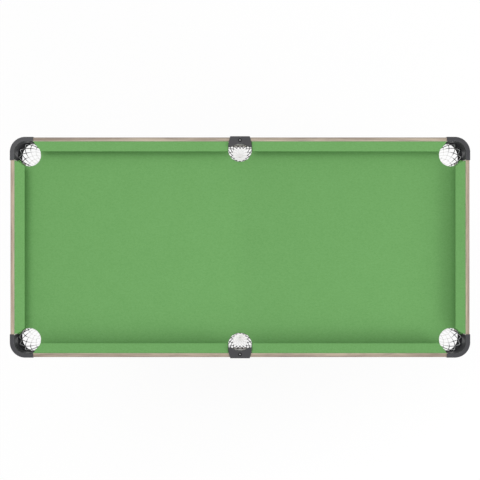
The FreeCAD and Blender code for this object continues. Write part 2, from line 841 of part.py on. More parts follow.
def side_net_nails():
    places = []
    for side in (-1, 1):
        for step in (-2, -1, 0, 1, 2):
            turn = s.nail_spread_angle * step
            x = nail_distance * sine(turn) if step else 0
            places.append((x, (side_hole_y - nail_distance * cosine(turn)) * side))
    fastener_group("side_net_nails", places, board_bottom - s.nail_stand_off - s.nail_head_thick,
                   s.nail_head_radius, s.nail_head_thick, s.nail_radius, s.nail_stand_off + s.screw_bite)


def side_cap_screws():
    """One screw through each side cap into the edge of the apron, its head in the recess."""
    screws = body("side_cap_screws")
    seat = s.rail_height + s.side_cap_thick - s.side_cap_recess_depth
    heads = sketch(screws, "side_screw_heads", height=seat)
    shanks = sketch(screws, "side_screw_shanks", height=seat - s.side_screw_length)
    for side in (-1, 1):
        y = (half_width - s.side_cap_screw_inset) * side
        circle(heads, 0, y, s.side_screw_head_radius)
        circle(shanks, 0, y, s.screw_radius)
    pad(screws, heads, s.side_screw_head_thick)
    pad(screws, shanks, s.side_screw_length)
    keep(screws, "side_cap_screws")


# Folding leg frames. In a leg frame's own frame the pivot axis is at the origin, x points to the
# middle of the table and the tubes hang down.

def on_leg(piece, end):
    """Moves a piece from a leg frame's own frame to the left or the right end of the table."""
    x = (s.leg_pivot_inset - half_length) if end == "left" else (half_length - s.leg_pivot_inset)
    return place(piece, x, 0, pivot_height, 0 if end == "left" else 180)


def side_name(end, side):
    """The table's front is at low y, and the right leg frame is turned half round."""
    return "front" if (side < 0) == (end == "left") else "back"


def leg_tube(end, side, leg_half):
    name = f"leg_{end}_{side_name(end, side)}"
    tube = body(name)
    middle = (leg_half - s.tube_side / 2) * side
    bottom = foot_stop + s.socket_flange - pivot_height
    section = sketch(tube, name + "_section", height=bottom)
    square(section, 0, middle, s.tube_side / 2)
    square(section, 0, middle, s.tube_side / 2 - s.tube_wall)
    pad(tube, section, s.leg_top_reach - bottom)
    rounded(tube, name + "_corners", s.tube_corner_round,
            lambda edge, point: upright(edge) and same(abs(point.x), s.tube_side / 2))
    holes = sketch(tube, name + "_holes", "XZ_Plane")
    circle(holes, 0, 0, s.pivot_radius + s.running_play)
    circle(holes, 0, -s.stay_arm, s.pivot_radius)
    cut(tube, holes)
    return keep(on_leg(tube, end), name)


def cross_bar(end, label, drop, leg_half):
    name = f"leg_bar_{end}_{label}"
    bar = body(name)
    section = sketch(bar, name + "_section", "XZ_Plane")
    square(section, 0, -drop, s.bar_side / 2)
    square(section, 0, -drop, s.bar_side / 2 - s.bar_wall)
    pad(bar, section, (leg_half - s.tube_side) * 2, both_ways=True)
    return keep(on_leg(bar, end), name)


def tube_plugs(name, end, leg_half, face, flange, stem, bore=None):
    """Plastic ends of both tubes: a flange over the end of the tube and a stem inside it."""
    plugs = body(name)
    inside = s.tube_side / 2 - s.tube_wall - s.plug_play
    flanges = sketch(plugs, name + "_flanges", height=face)
    stems = sketch(plugs, name + "_stems", height=face + flange if stem.value > 0 else face + stem)
    for side in (-1, 1):
        middle = (leg_half - s.tube_side / 2) * side
        square(flanges, 0, middle, s.tube_side / 2)
        square(stems, 0, middle, inside)
    pad(plugs, flanges, flange)
    pad(plugs, stems, stem if stem.value > 0 else -stem)
    if bore:
        bores = sketch(plugs, name + "_bores", height=face)
        for side in (-1, 1):
            circle(bores, 0, (leg_half - s.tube_side / 2) * side, bore)
        cut(plugs, bores)
    return keep(on_leg(plugs, end), name)


def across(owner, name, circles, outer, inner):
    """Pads circles of the XZ plane between two distances along y."""
    low, high = sorted((outer, inner), key=value_of)
    drawing = sketch(owner, name, "XZ_Plane", height=-high)
    for x, z, radius in circles:
        circle(drawing, x, z, radius)
    pad(owner, drawing, high - low)


def stay_pins(end, leg_half):
    """Shouldered pins fixed in the legs, which slide in the slots of the stays."""
    name = f"stay_pins_{end}"
    pins = body(name)
    inner_face = leg_half - s.tube_side
    stay_face = inner_face - s.bracket_play - s.sheet_thick - s.stay_spacing
    for side in (-1, 1):
        label = f"{name}_{side_name(end, side)}"
        centre = (0, -s.stay_arm)
        head = stay_face - s.stay_thick - s.stay_play * 2
        across(pins, label + "_cap", [(*centre, s.stay_head_radius)],
               (leg_half + s.stay_head_thick) * side, leg_half * side)
        across(pins, label + "_shank", [(*centre, s.pivot_radius)], leg_half * side, inner_face * side)
        across(pins, label + "_shoulder", [(*centre, s.stay_head_radius)],
               inner_face * side, (stay_face + s.stay_play) * side)
        across(pins, label + "_pin", [(*centre, s.pivot_radius)],
               (stay_face + s.stay_play) * side, head * side)
        across(pins, label + "_head", [(*centre, s.stay_head_radius)],
               head * side, (head - s.stay_head_thick) * side)
    return keep(on_leg(pins, end), name)


def bracket(end, side, leg_half):
    """Pressed channel under the board: two cheeks that carry the leg pivot and the stay's rivet."""
    name = f"hinge_bracket_{end}_{side_name(end, side)}"
    channel = body(name)
    outer_face = leg_half + s.bracket_play
    inner_face = leg_half - s.tube_side - s.bracket_play
    reach = s.bracket_end_reach
    web = sketch(channel, name + "_web", height=s.leg_pivot_drop - s.sheet_thick)
    far = -s.stay_arm - reach
    low = (inner_face - s.sheet_thick) * side
    high = (outer_face + s.sheet_thick) * side
    outline(web, [(far, low), (reach, low), (reach, high), (far, high)])
    pad(channel, web, s.sheet_thick)
    for label, face in (("outer", outer_face), ("inner", inner_face - s.sheet_thick)):
        edge = face * side
        front = edge + s.sheet_thick if side > 0 else edge
        cheek = sketch(channel, f"{name}_{label}", "XZ_Plane", height=-front)
        outline(cheek, [
            (far, s.leg_pivot_drop - s.sheet_thick / 2), (far, 0, Bend((-s.stay_arm, 0))),
            (-s.stay_arm, -reach), (0, -reach, Bend((0, 0))), (reach, 0),
            (reach, s.leg_pivot_drop - s.sheet_thick / 2)])
        pad(channel, cheek, s.sheet_thick)
    bores = sketch(channel, name + "_bores", "XZ_Plane")
    circle(bores, 0, 0, s.pivot_radius)
    circle(bores, -s.stay_arm, 0, s.pivot_radius)
    cut(channel, bores)
    holes = sketch(channel, name + "_holes", height=s.leg_pivot_drop - s.sheet_thick)
    for x, y in bracket_screw_places(side, leg_half):
        circle(holes, x, y, s.screw_radius)
    cut(channel, holes)
    return keep(on_leg(channel, end), name)


def bracket_screw_places(side, leg_half):
    """Four screws through the web of a bracket, in the leg frame's own frame."""
    middle = (leg_half - s.tube_side / 2) * side
    along_shares = (0.25, 0.75)
    across_shares = (-0.25, 0.25)
    return [(-s.stay_arm * along, middle + s.tube_side * off)
            for along in along_shares for off in across_shares]


def bracket_screws():
    places = []
    for way, leg_half in ((-1, wide_leg_half), (1, narrow_leg_half)):
        for side in (-1, 1):
            for x, y in bracket_screw_places(side, leg_half):
                places.append(((half_length - s.leg_pivot_inset - x) * way, y))
    fastener_group("bracket_screws", places, board_bottom - s.sheet_thick - s.screw_head_thick,
                   s.screw_head_radius, s.screw_head_thick, s.screw_radius, s.sheet_thick + s.screw_bite)


def pivot_bolts(end, leg_half):
    """Bolts on which the legs turn: a head outside and a low rivet head beside the stay."""
    bolts = body(f"leg_pivots_{end}")
    outer = leg_half + s.bracket_play + s.sheet_thick
    inner = leg_half - s.tube_side - s.bracket_play - s.sheet_thick
    for side in (-1, 1):
        label = f"leg_pivots_{end}_{side_name(end, side)}"
        across(bolts, label + "_head", [(0, 0, s.pivot_head_radius)],
               (outer + s.pivot_head_thick) * side, outer * side)
        across(bolts, label + "_shank", [(0, 0, s.pivot_radius)], outer * side, inner * side)
        across(bolts, label + "_end", [(0, 0, s.pivot_head_radius)],
               inner * side, (inner - s.pivot_rivet_head_thick) * side)
    return on_leg(bolts, end)


def stay_rivets(end, leg_half):
    """Rivets in the inner cheeks on which the stays turn, shouldered clear of the leg pivot."""
    rivets = body(f"stay_rivets_{end}")
    cheek = leg_half - s.tube_side - s.bracket_play
    stay_face = cheek - s.sheet_thick - s.stay_spacing
    far = -s.stay_arm
    for side in (-1, 1):
        label = f"stay_rivets_{end}_{side_name(end, side)}"
        head = stay_face - s.stay_thick - s.stay_play * 2
        across(rivets, label + "_cap", [(far, 0, s.stay_head_radius)],
               (cheek + s.stay_head_thick) * side, cheek * side)
        across(rivets, label + "_shank", [(far, 0, s.pivot_radius)],
               cheek * side, (cheek - s.sheet_thick) * side)
        across(rivets, label + "_shoulder", [(far, 0, s.stay_head_radius)],
               (cheek - s.sheet_thick) * side, (stay_face + s.stay_play) * side)
        across(rivets, label + "_pin", [(far, 0, s.pivot_radius)],
               (stay_face + s.stay_play) * side, head * side)
        across(rivets, label + "_head", [(far, 0, s.stay_head_radius)],
               head * side, (head - s.stay_head_thick) * side)
    return on_leg(rivets, end)


def stays(end, leg_half):
    """Both slotted stays of a leg frame. Fixed pivot, leg pivot and leg pin make a triangle with two
    equal arms, so that a stay turns by just half of what the leg turns."""
    name = f"stays_{end}"
    bars = body(name)
    stay_face = leg_half - s.tube_side - s.bracket_play - s.sheet_thick - s.stay_spacing
    half = s.stay_width / 2
    slot = s.pivot_radius + s.running_play
    lean = 1 / math.sqrt(2)
    for side in (-1, 1):
        edge = stay_face * side
        front = edge if side > 0 else edge + s.stay_thick
        drawing = sketch(bars, f"{name}_{side_name(end, side)}", "XZ_Plane", height=-front)

        def at(along, off):
            """A point along the stay, which leans down by 45 degrees at rest."""
            return (along + off) * lean - s.stay_arm, (off - along) * lean

        tip = stay_far + s.stay_end_margin - half
        outline(drawing, [at(0, -half), (*at(tip, -half), Bend(at(tip, 0))), at(tip, half),
                          (*at(0, half), Bend((-s.stay_arm, 0)))])
        outline(drawing, [at(stay_near, -slot), (*at(stay_far, -slot), Bend(at(stay_far, 0))),
                          at(stay_far, slot), (*at(stay_near, slot), Bend(at(stay_near, 0)))])
        circle(drawing, -s.stay_arm, 0, slot)
        pad(bars, drawing, s.stay_thick)
    return keep(on_leg(bars, end), name)


def leveller(end, side, leg_half):
    """A moulded foot on a threaded stud, with a hexagon for the spanner."""
    name = f"leveller_{end}_{side_name(end, side)}"
    foot = body(name)
    profile = sketch(foot, name + "_profile", "XZ_Plane")
    stud_top = foot_stop + s.foot_stud_length
    outline(profile, [
        (0, 0), (s.foot_radius, 0), (s.foot_radius, s.foot_rim_height),
        (s.foot_waist_radius, s.foot_height), (s.foot_stud_radius, s.foot_height),
        (s.foot_stud_radius, stud_top), (0, stud_top)])
    turned(foot, profile)
    nut = sketch(foot, name + "_hexagon", height=s.foot_height)
    sixth = 60
    corners = []
    for number in range(6):
        x = s.foot_hex_radius * cosine(number * sixth)
        y = s.foot_hex_radius * sine(number * sixth) if number % 3 else 0
        corners.append((x, y))
    outline(nut, corners)
    pad(foot, nut, s.foot_hex_height)
    x = (s.leg_pivot_inset - half_length) if end == "left" else (half_length - s.leg_pivot_inset)
    y = (leg_half - s.tube_side / 2) * (side if end == "left" else -side)
    return keep(place(foot, x, y, 0), name)


def leg_frame(end, leg_half):
    cross_bar(end, "upper", s.upper_bar_drop, leg_half)
    cross_bar(end, "lower", s.lower_bar_drop, leg_half)
    tube_plugs(f"leg_plugs_{end}", end, leg_half, s.leg_top_reach, s.plug_thick, -s.plug_length)
    socket_face = foot_stop - pivot_height
    tube_plugs(f"foot_sockets_{end}", end, leg_half, socket_face, s.socket_flange, s.socket_length,
               s.foot_stud_radius + s.running_play)
    stay_pins(end, leg_half)
    stays(end, leg_half)
    for side in (-1, 1):
        leg_tube(end, side, leg_half)
        bracket(end, side, leg_half)
        leveller(end, side, leg_half)


# The whole table

def build():
    playfield_sheet("playfield_board", board_bottom, s.board_thick)
    playfield_sheet("playfield_cloth", board_top, s.cloth_thick)
    board_supports()
    apron("apron_front", FRONT, half_length)
    apron("apron_back", BACK, half_length)
    apron("apron_left", LEFT, half_width)
    apron("apron_right", RIGHT, half_width)
    cushions()
    for name, turn in (("front_left", FRONT), ("front_right", RIGHT),
                       ("back_right", BACK), ("back_left", LEFT)):
        corner_cap("corner_cap_" + name, turn)
        corner_net("pocket_net_" + name, turn)
    for name, turn in (("front", FRONT), ("back", BACK)):
        side_cap("side_cap_" + name, turn)
        side_net("pocket_net_" + name + "_middle", turn)
    corner_cap_screws()
    side_cap_screws()
    side_net_nails()
    bracket_screws()
    ends = (("left", wide_leg_half), ("right", narrow_leg_half))
    for end, leg_half in ends:
        leg_frame(end, leg_half)
    group("leg_pivot_bolts", [pivot_bolts(end, leg_half) for end, leg_half in ends])
    group("stay_rivets", [stay_rivets(end, leg_half) for end, leg_half in ends])


def check_and_write():
    doc.recompute()
    for thing in doc.Objects:
        if "Invalid" in thing.State or "Error" in thing.State:
            raise RuntimeError(f"{thing.Label} failed: {thing.State}")
    os.makedirs("parts", exist_ok=True)
    for piece in parts:
        shape = piece.Shape
        if shape.isNull() or not shape.isValid():
            raise RuntimeError(f"{piece.Label} has no valid shape")
        shape.exportStep(f"parts/{piece.Label}.step")
        print(piece.Label, len(shape.Solids), "solids", round(shape.Volume), "mm3")


build()
check_and_write()
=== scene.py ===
"""Small billiard table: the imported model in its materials, with stretched cloths, corded pocket nets,
cross-headed screws, a pale floor, studio light and the camera straight above."""
import math
import random

import bmesh
import bpy
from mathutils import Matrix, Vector


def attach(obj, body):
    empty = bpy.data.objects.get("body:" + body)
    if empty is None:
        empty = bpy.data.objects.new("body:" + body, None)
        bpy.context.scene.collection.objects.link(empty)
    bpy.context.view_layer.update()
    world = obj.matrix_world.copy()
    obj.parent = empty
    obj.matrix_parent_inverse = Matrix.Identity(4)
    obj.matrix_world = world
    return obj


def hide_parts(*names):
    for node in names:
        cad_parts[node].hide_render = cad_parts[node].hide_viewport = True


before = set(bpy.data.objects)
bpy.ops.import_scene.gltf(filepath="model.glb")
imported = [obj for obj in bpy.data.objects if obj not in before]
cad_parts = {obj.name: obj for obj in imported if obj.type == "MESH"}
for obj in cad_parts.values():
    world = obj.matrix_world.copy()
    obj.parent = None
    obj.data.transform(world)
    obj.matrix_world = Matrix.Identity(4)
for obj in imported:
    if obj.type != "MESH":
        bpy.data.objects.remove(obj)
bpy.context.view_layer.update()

MM = 0.001

# Sizes of the table in millimetres, in the model's frame: x along the table, y across it, z up
HALF_LENGTH, HALF_WIDTH = 700, 335
APRON_THICK = 12
INNER_X, INNER_Y = HALF_LENGTH - APRON_THICK, HALF_WIDTH - APRON_THICK
RAIL_TOP = 800
BOARD_BOTTOM, CLOTH_TOP = 760, 773
CORNER_HOLE, CORNER_HOLE_RADIUS = (650.2, 285.2), 36
SIDE_HOLE_Y, SIDE_HOLE_RADIUS = 301, 37.5
# The lines beyond which the board is cut away for the corner caps
BOARD_NOTCH = (632.5, 267.5)
CAP_RADIUS, CAP_BAND, CAP_PROUD = 47, 12.5, 1.5
CAP_ROUND = (HALF_LENGTH + CAP_PROUD - CAP_RADIUS, HALF_WIDTH + CAP_PROUD - CAP_RADIUS)
SIDE_SCREW_Y = 326.2


# Camera: its height over the floor in metres, and the lens and shift of the photograph's frame

CAMERA_HEIGHT, CAMERA_LENS, CAMERA_SHIFT = 2.764, 48.33, 0.0151


def make_camera():
    view = bpy.data.cameras.new("camera")
    view.sensor_width = 36
    view.lens = CAMERA_LENS
    view.shift_y = CAMERA_SHIFT
    camera = bpy.data.objects.new("camera", view)
    camera.location = (0, 0, CAMERA_HEIGHT)
    bpy.context.scene.collection.objects.link(camera)
    bpy.context.scene.camera = camera


make_camera()


# Materials

def colour(red, green, blue):
    """A picture colour, from 0 to 255, as the linear one that shaders take."""
    def linear(value):
        share = value / 255
        return share / 12.92 if share <= 0.04045 else ((share + 0.055) / 1.055) ** 2.4
    return (linear(red), linear(green), linear(blue), 1)


class Finish:
    """A material with its principled shader and the textures that lead to it."""

    def __init__(self, name, base=None, roughness=0.5, metallic=0.0):
        self.material = bpy.data.materials.new(name)
        self.material.use_nodes = True
        self.tree = self.material.node_tree
        self.shader = self.tree.nodes["Principled BSDF"]
        self.shader.inputs["Roughness"].default_value = roughness
        self.shader.inputs["Metallic"].default_value = metallic
        if base:
            self.shader.inputs["Base Color"].default_value = base
        self.place = self.tree.nodes.new("ShaderNodeTexCoord").outputs["Object"]
        self.bumps = None

    def join(self, source, target):
        self.tree.links.new(source, target)

    def feed(self, socket, value):
        """Joins another node's output to the socket, or sets a plain value on it."""
        if isinstance(value, bpy.types.NodeSocket):
            self.join(value, socket)
        else:
            socket.default_value = value

    def set(self, **values):
        for name, value in values.items():
            self.shader.inputs[name.replace("_", " ")].default_value = value

    def stretched(self, x, y, z):
        mapping = self.tree.nodes.new("ShaderNodeMapping")
        mapping.inputs["Scale"].default_value = (x, y, z)
        self.join(self.place, mapping.inputs["Vector"])
        return mapping.outputs["Vector"]

    def noise(self, scale, detail=3.0, rough=0.5, distortion=0.0, place=None):
        texture = self.tree.nodes.new("ShaderNodeTexNoise")
        texture.inputs["Scale"].default_value = scale
        texture.inputs["Detail"].default_value = detail
        texture.inputs["Roughness"].default_value = rough
        texture.inputs["Distortion"].default_value = distortion
        self.join(place or self.place, texture.inputs["Vector"])
        return texture.outputs["Fac"]

    def ramp(self, value, *stops):
        node = self.tree.nodes.new("ShaderNodeValToRGB")
        line = node.color_ramp
        while len(line.elements) < len(stops):
            line.elements.new(0.5)
        for element, (position, shade) in zip(line.elements, stops):
            element.position = position
            element.color = shade
        self.join(value, node.inputs["Fac"])
        return node.outputs["Color"]

    def band(self, value, low, high, start=0.0, end=1.0):
        """Goes from start to end while the value goes from low to high."""
        node = self.tree.nodes.new("ShaderNodeMapRange")
        node.inputs["From Min"].default_value = low
        node.inputs["From Max"].default_value = high
        node.inputs["To Min"].default_value = start
        node.inputs["To Max"].default_value = end
        self.join(value, node.inputs["Value"])
        return node.outputs["Result"]

    def mixed(self, factor, first, second, how="MIX"):
        node = self.tree.nodes.new("ShaderNodeMix")
        node.data_type = "RGBA"
        node.blend_type = how
        sockets = {socket.identifier: socket for socket in node.inputs}
        self.feed(sockets["Factor_Float"], factor)
        self.feed(sockets["A_Color"], first)
        self.feed(sockets["B_Color"], second)
        return {socket.identifier: socket for socket in node.outputs}["Result_Color"]

    def reckon(self, how, first, second=0.0):
        node = self.tree.nodes.new("ShaderNodeMath")
        node.operation = how
        self.feed(node.inputs[0], first)
        self.feed(node.inputs[1], second)
        return node.outputs[0]

    def level(self, axis):
        """Place along one axis of the table, in metres."""
        split = self.tree.nodes.new("ShaderNodeSeparateXYZ")
        self.join(self.place, split.inputs[0])
        return split.outputs[axis]

    def away(self, axis):
        """Distance from the table's middle plane across one axis, in metres."""
        return self.reckon("ABSOLUTE", self.level(axis))

    def length(self, first, second):
        squares = [self.reckon("POWER", side, 2) for side in (first, second)]
        return self.reckon("SQRT", self.reckon("ADD", *squares))

    def base(self, value):
        self.join(value, self.shader.inputs["Base Color"])

    def rough(self, value):
        self.join(value, self.shader.inputs["Roughness"])

    def bump(self, height, depth, strength=1.0):
        """Adds relief: depth in millimetres."""
        node = self.tree.nodes.new("ShaderNodeBump")
        node.inputs["Strength"].default_value = strength
        node.inputs["Distance"].default_value = depth * MM
        self.join(height, node.inputs["Height"])
        if self.bumps:
            self.join(self.bumps, node.inputs["Normal"])
        self.bumps = node.outputs["Normal"]
        self.join(self.bumps, self.shader.inputs["Normal"])


def rail_wood(name, along_x, side_shade):
    """Weathered grey-brown board with long streaks, darker pores and a few paler bands. Painted shade
    darkens its top towards the outer edge and over its outer face. Its inner face is painted pale, partly
    as bare board and partly as painted light. The tint is painted shade on this side's copy of the wood."""
    wood = Finish(name)
    inner, outer = (INNER_Y, HALF_WIDTH) if along_x else (INNER_X, HALF_LENGTH)
    across = wood.away("Y" if along_x else "X")

    def run(length, width):
        return wood.stretched(length, width, width) if along_x else wood.stretched(width, length, width)

    flow = wood.noise(5, detail=6, rough=0.6, distortion=0.6, place=run(0.9, 16))
    tone = wood.ramp(flow, (0.28, colour(154, 138, 121)), (0.45, colour(184, 169, 150)),
                     (0.6, colour(199, 184, 163)), (0.75, colour(212, 198, 174)))
    streaks = wood.noise(9, detail=4, rough=0.7, distortion=0.2, place=run(1.3, 34))
    streaked = wood.mixed(wood.band(streaks, 0.47, 0.66, end=0.75), tone, colour(146, 134, 124))
    pores = wood.noise(40, detail=2, rough=0.6, place=run(0.5, 14))
    grained = wood.mixed(wood.band(pores, 0.6, 0.72, end=0.5), streaked, colour(104, 90, 78))
    # Painted shade: the top darkens towards the outer edge, and the outer face is darkest.
    edge = wood.band(across, (inner + 3) * MM, (outer - 1) * MM)
    shade = wood.ramp(edge, (0, (1, 1, 1, 1)), (0.7, (0.85, 0.85, 0.88, 1)), (1, (0.66, 0.65, 0.67, 1)))
    # The side's tint is multiplied in as painted shade.
    toned = wood.mixed(1.0, wood.mixed(1.0, grained, shade, "MULTIPLY"), side_shade, "MULTIPLY")
    # The inner face is painted pale, partly as bare board and partly as painted light where it lies in the
    # pockets' shade.
    pale_inner_face = wood.band(across, (inner + 0.3) * MM, (inner + 0.1) * MM)
    wood.base(wood.mixed(pale_inner_face, toned, colour(212, 206, 200)))
    wood.rough(wood.band(flow, 0.3, 0.7, start=0.68, end=0.52))
    wood.bump(streaks, 0.15, strength=0.5)
    wood.bump(pores, 0.12, strength=0.5)
    return wood.material


def sawn_wood(name):
    wood = Finish(name, roughness=0.7)
    place = wood.stretched(1.2, 18, 18)
    rings = wood.noise(4, detail=5, rough=0.55, distortion=0.8, place=place)
    wood.base(wood.ramp(rings, (0.35, colour(188, 152, 108)), (0.52, colour(207, 174, 128)),
                        (0.66, colour(178, 138, 92))))
    wood.bump(wood.noise(60, rough=0.6, place=place), 0.2, strength=0.6)
    return wood.material


def fibreboard(name):
    board = Finish(name, roughness=0.85)
    fibres = board.noise(420, detail=5, rough=0.7)
    clouds = board.noise(9)
    tone = board.ramp(fibres, (0.3, colour(104, 86, 70)), (0.7, colour(138, 116, 94)))
    board.base(board.mixed(board.band(clouds, 0.35, 0.65, end=0.35), tone, colour(112, 93, 76)))
    board.bump(fibres, 0.15, strength=0.6)
    return board.material


def playing_cloth(name):
    """Napped woven cloth: fine threads one way, felted fibres over them, a faint cloudy wear and
    darker flecks."""
    cloth = Finish(name, roughness=0.95)
    low, middle, high = colour(105, 160, 91), colour(115, 170, 101), colour(124, 178, 111)
    nap = cloth.noise(900, detail=4, rough=0.7)
    tone = cloth.ramp(nap, (0.3, low), (0.5, middle), (0.7, high))
    threads = cloth.noise(1, detail=2, rough=0.6, place=cloth.stretched(240, 760, 500))
    threaded = cloth.mixed(cloth.band(threads, 0.42, 0.68, end=0.3), tone, high)
    clouds = cloth.noise(14, detail=4, rough=0.55)
    worn = cloth.mixed(cloth.band(clouds, 0.35, 0.7, end=0.16), threaded, low)
    flecks = cloth.noise(1, rough=0.7, place=cloth.stretched(170, 300, 240))
    cloth.base(cloth.mixed(cloth.band(flecks, 0.42, 0.62, end=0.26), worn, colour(92, 146, 78)))
    cloth.set(Specular_IOR_Level=0.2, Sheen_Weight=0.12, Sheen_Roughness=0.5,
              Sheen_Tint=colour(170, 215, 150))
    cloth.bump(nap, 0.25, strength=0.5)
    cloth.bump(threads, 0.2, strength=0.5)
    return cloth.material


def cap_moulding(name):
    """Satin on the bands, where hands polish it, and matt inside the pockets, where painted shade darkens
    the walls downward and the side caps' screw recesses.
    """
    plastic = Finish(name)
    plastic.set(Specular_IOR_Level=0.36)
    wear = plastic.noise(22, detail=4, rough=0.6)
    tone = plastic.mixed(plastic.band(wear, 0.4, 0.7, end=0.5), colour(62, 62, 65), colour(68, 68, 71))
    height = plastic.level("Z")
    beyond = [plastic.reckon("MAXIMUM", plastic.reckon("SUBTRACT", plastic.away(axis), line * MM), 0.0)
              for axis, line in zip("XY", CAP_ROUND)]
    from_round = plastic.length(*beyond)
    band_inside = CAP_RADIUS - CAP_BAND
    # Inside is what lies within the band under the rail's top, and within the outer skin under the board
    upper = plastic.reckon("MULTIPLY", plastic.band(from_round, (band_inside + 1) * MM, band_inside * MM),
                           plastic.band(height, (RAIL_TOP + 1.5) * MM, (RAIL_TOP - 2) * MM))
    lower = plastic.reckon("MULTIPLY",
                           plastic.band(from_round, (CAP_RADIUS - 0.7) * MM, (CAP_RADIUS - 1.3) * MM),
                           plastic.band(height, (BOARD_BOTTOM + 2) * MM, BOARD_BOTTOM * MM))
    inside = plastic.reckon("MAXIMUM", upper, lower)
    # Painted shade: the inside darkens from the rail's top down to the board's bottom, and stays darkest
    # below it.
    depth = plastic.band(height, RAIL_TOP * MM, BOARD_BOTTOM * MM)
    wall = plastic.mixed(depth, colour(68, 68, 71), colour(27, 27, 32))
    toned = plastic.mixed(inside, tone, wall)
    # Painted shade in the recess round each side cap's screw.
    from_screw = plastic.length(plastic.away("X"),
                                plastic.reckon("SUBTRACT", plastic.away("Y"), SIDE_SCREW_Y * MM))
    recess = plastic.band(from_screw, 6 * MM, 5.5 * MM)
    plastic.base(plastic.mixed(recess, toned, colour(17, 17, 20)))
    shine = plastic.band(wear, 0.3, 0.7, start=0.36, end=0.44)
    plastic.rough(plastic.reckon("MAXIMUM", shine, plastic.reckon("MULTIPLY", inside, 0.85)))
    plastic.bump(plastic.noise(1100, rough=0.6), 0.08, strength=0.5)
    return plastic.material


def moulded_plastic(name):
    plastic = Finish(name)
    dark = colour(34, 34, 36)
    worn = tuple(value * 1.25 for value in dark[:3]) + (1,)
    wear = plastic.noise(22, detail=4, rough=0.6)
    plastic.base(plastic.mixed(plastic.band(wear, 0.4, 0.7, end=0.5), dark, worn))
    plastic.rough(plastic.band(wear, 0.3, 0.7, start=0.45, end=0.55))
    plastic.bump(plastic.noise(1100, rough=0.6), 0.08, strength=0.5)
    return plastic.material


def cord_fibre(name):
    """Off-white twisted cord with painted shade by height: grey in the rows under the loops, lighter in
    the loops at the top, and its own white lifted as painted light in the lowest rows, with a little dirt
    over all."""
    cord = Finish(name, roughness=0.8)
    strands = cord.noise(1500, rough=0.6)
    lifted_white = cord.ramp(strands, (0.3, colour(244, 244, 240)), (0.7, colour(254, 254, 252)))
    grey = cord.ramp(strands, (0.3, colour(66, 66, 70)), (0.7, colour(96, 96, 98)))
    loops = cord.ramp(strands, (0.3, colour(196, 196, 200)), (0.7, colour(226, 226, 228)))
    # Painted shade by height: grey rows under the loops where the caps shade them, paler loops, and white
    # lifted as painted light below.
    height = cord.level("Z")
    lower = cord.mixed(cord.band(height, 682 * MM, 698 * MM), lifted_white, grey)
    tone = cord.mixed(cord.band(height, 735 * MM, 748 * MM), lower, loops)
    dirt = cord.noise(60)
    cord.base(cord.mixed(cord.band(dirt, 0.4, 0.7, end=0.12), tone, colour(190, 190, 188)))
    cord.bump(strands, 0.3, strength=0.7)
    return cord.material


def powder_coat(name):
    coat = Finish(name, colour(26, 26, 28))
    coat.bump(coat.noise(520, detail=2), 0.12, strength=0.35)
    coat.rough(coat.band(coat.noise(18), 0.3, 0.7, start=0.38, end=0.5))
    return coat.material


def zinc_plate(name):
    zinc = Finish(name, metallic=1.0)
    zinc.base(zinc.ramp(zinc.noise(90), (0.3, colour(170, 172, 174)), (0.7, colour(200, 201, 202))))
    brushing = zinc.noise(3, rough=0.6, place=zinc.stretched(60, 60, 700))
    zinc.rough(zinc.band(brushing, 0.3, 0.7, start=0.28, end=0.45))
    zinc.bump(brushing, 0.03, strength=0.5)
    return zinc.material


def moulded_rubber(name):
    rubber = Finish(name, colour(44, 40, 36))
    rubber.bump(rubber.noise(300), 0.1, strength=0.5)
    rubber.rough(rubber.band(rubber.noise(30), 0.3, 0.7, start=0.65, end=0.85))
    return rubber.material


# Lit and shaded copies of one wood: each tint is painted shade, darkest on the front and slight on the
# ends.
WOOD_FRONT = rail_wood("rail_wood_front", True, (0.92, 0.88, 0.86, 1))
WOOD_BACK = rail_wood("rail_wood_back", True, (1, 1, 1, 1))
WOOD_END = rail_wood("rail_wood_end", False, (0.99, 0.96, 0.91, 1))
SAWN_WOOD = sawn_wood("sawn_wood")
FIBREBOARD = fibreboard("fibreboard")
CLOTH = playing_cloth("playing_cloth")
CAP_PLASTIC = cap_moulding("cap_plastic")
SMALL_PLASTIC = moulded_plastic("small_plastic")
CORD = cord_fibre("net_fibre")
BLACK_STEEL = powder_coat("black_steel_coat")
ZINC = zinc_plate("zinc_steel_plate")
RUBBER = moulded_rubber("moulded_rubber")

# A node takes the material of the first row that names the start of its name
FINISHES = (
    (("apron_front",), WOOD_FRONT),
    (("apron_back",), WOOD_BACK),
    (("apron_left", "apron_right"), WOOD_END),
    (("board_cleats", "cross_battens", "cushion_backers"), SAWN_WOOD),
    (("playfield_board",), FIBREBOARD),
    (("playfield_cloth", "cushion_cloth"), CLOTH),
    (("cushion_rubbers",), RUBBER),
    (("corner_cap_screws", "side_cap_screws", "side_net_nails", "bracket_screws", "leg_pivot_bolts",
      "stay_rivets", "stay_pins", "stays_"), ZINC),
    (("leg_plugs", "foot_sockets", "leveller"), SMALL_PLASTIC),
    (("corner_cap", "side_cap"), CAP_PLASTIC),
    (("leg_", "hinge_bracket"), BLACK_STEEL),
    (("pocket_net",), CORD),
)


def dress_nodes():
    for name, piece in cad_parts.items():
        finish = next(material for starts, material in FINISHES if name.startswith(starts))
        for slot in piece.material_slots:
            slot.material = finish


dress_nodes()


# Pieces

def add_piece(name, data, body, material, nodes=()):
    """Adds a piece that rides on this body and stands for these nodes of the model."""
    piece = bpy.data.objects.new(name, data)
    bpy.context.scene.collection.objects.link(piece)
    data.materials.append(material)
    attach(piece, body)
    if nodes:
        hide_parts(*nodes)
    return piece


